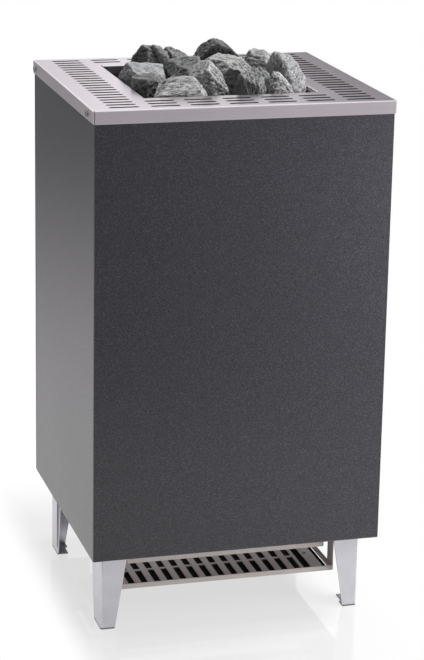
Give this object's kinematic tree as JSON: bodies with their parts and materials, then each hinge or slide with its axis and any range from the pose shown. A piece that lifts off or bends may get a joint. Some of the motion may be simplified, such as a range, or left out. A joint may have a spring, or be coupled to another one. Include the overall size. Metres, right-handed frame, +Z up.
{
  "type": "sauna heater stove",
  "caption": "Floor-standing electric sauna heater with a painted casing on folded legs, a slotted steel cover with a heap of stones in its opening, and a slotted tray underneath.",
  "frame": {"origin": "on the floor under the middle of the cover", "axes": "+Z up, +Y towards the terminal side at the rear, +X to the right seen from the front"},
  "size_m": [0.4156, 0.385, 0.7687],
  "materials": {
    "stainless": "brushed",
    "casing_paint": "fine pearl",
    "leg_steel": "satin",
    "zinc_steel": "zinc plated",
    "dark_steel": "matt black",
    "grate_iron": "rough",
    "element_steel": "oxidised",
    "ceramic": "matt",
    "brass": "plain",
    "wire_sleeve": "woven sleeve",
    "black_plastic": "moulded",
    "stone": "broken"
  },
  "bodies": {
    "casing": {"front_panel": "casing_paint", "left_panel": "casing_paint", "right_panel": "casing_paint", "rear_panel": "casing_paint", "terminal_lid": "casing_paint", "leg_front_left": "leg_steel", "leg_bolt_front_left": "zinc_steel", "tray_screw_front_left": "zinc_steel", "leg_front_right": "leg_steel", "leg_bolt_front_right": "zinc_steel", "tray_screw_front_right": "zinc_steel", "leg_rear_left": "leg_steel", "leg_bolt_rear_left": "zinc_steel", "tray_screw_rear_left": "zinc_steel", "leg_rear_right": "leg_steel", "leg_bolt_rear_right": "zinc_steel", "tray_screw_rear_right": "zinc_steel", "chassis_plate": "zinc_steel", "intake_frame": "stainless", "intake_tray": "stainless", "floor_reflector": "dark_steel", "heat_shield": "zinc_steel", "stone_chamber": "stainless", "stone_grate": "grate_iron", "terminal_box": "zinc_steel", "terminal_block": "ceramic", "neutral_link": "brass", "cable_gland": "black_plastic", "gland_nut": "black_plastic", "heating_element_1": "element_steel", "phase_lead_1": "wire_sleeve", "heating_element_2": "element_steel", "phase_lead_2": "wire_sleeve", "heating_element_3": "element_steel", "phase_lead_3": "wire_sleeve", "stone_01": "stone", "stone_02": "stone", "stone_03": "stone", "stone_04": "stone", "stone_05": "stone", "stone_06": "stone", "stone_07": "stone", "stone_08": "stone", "stone_09": "stone", "stone_10": "stone", "stone_11": "stone", "stone_12": "stone", "stone_13": "stone", "stone_14": "stone", "stone_15": "stone", "stone_16": "stone", "stone_17": "stone", "stone_18": "stone", "stone_19": "stone", "stone_20": "stone"},
    "cover": {"top_cover": "stainless", "cover_screw_front_left": "stainless", "cover_screw_front_right": "stainless", "cover_screw_rear_left": "stainless", "cover_screw_rear_right": "stainless"}
  },
  "joints": [
    {"name": "cover_lift", "type": "slide", "parent": "casing", "child": "cover", "axis": [0, 0, 1], "range_m": [0, 0.1]}
  ]
}
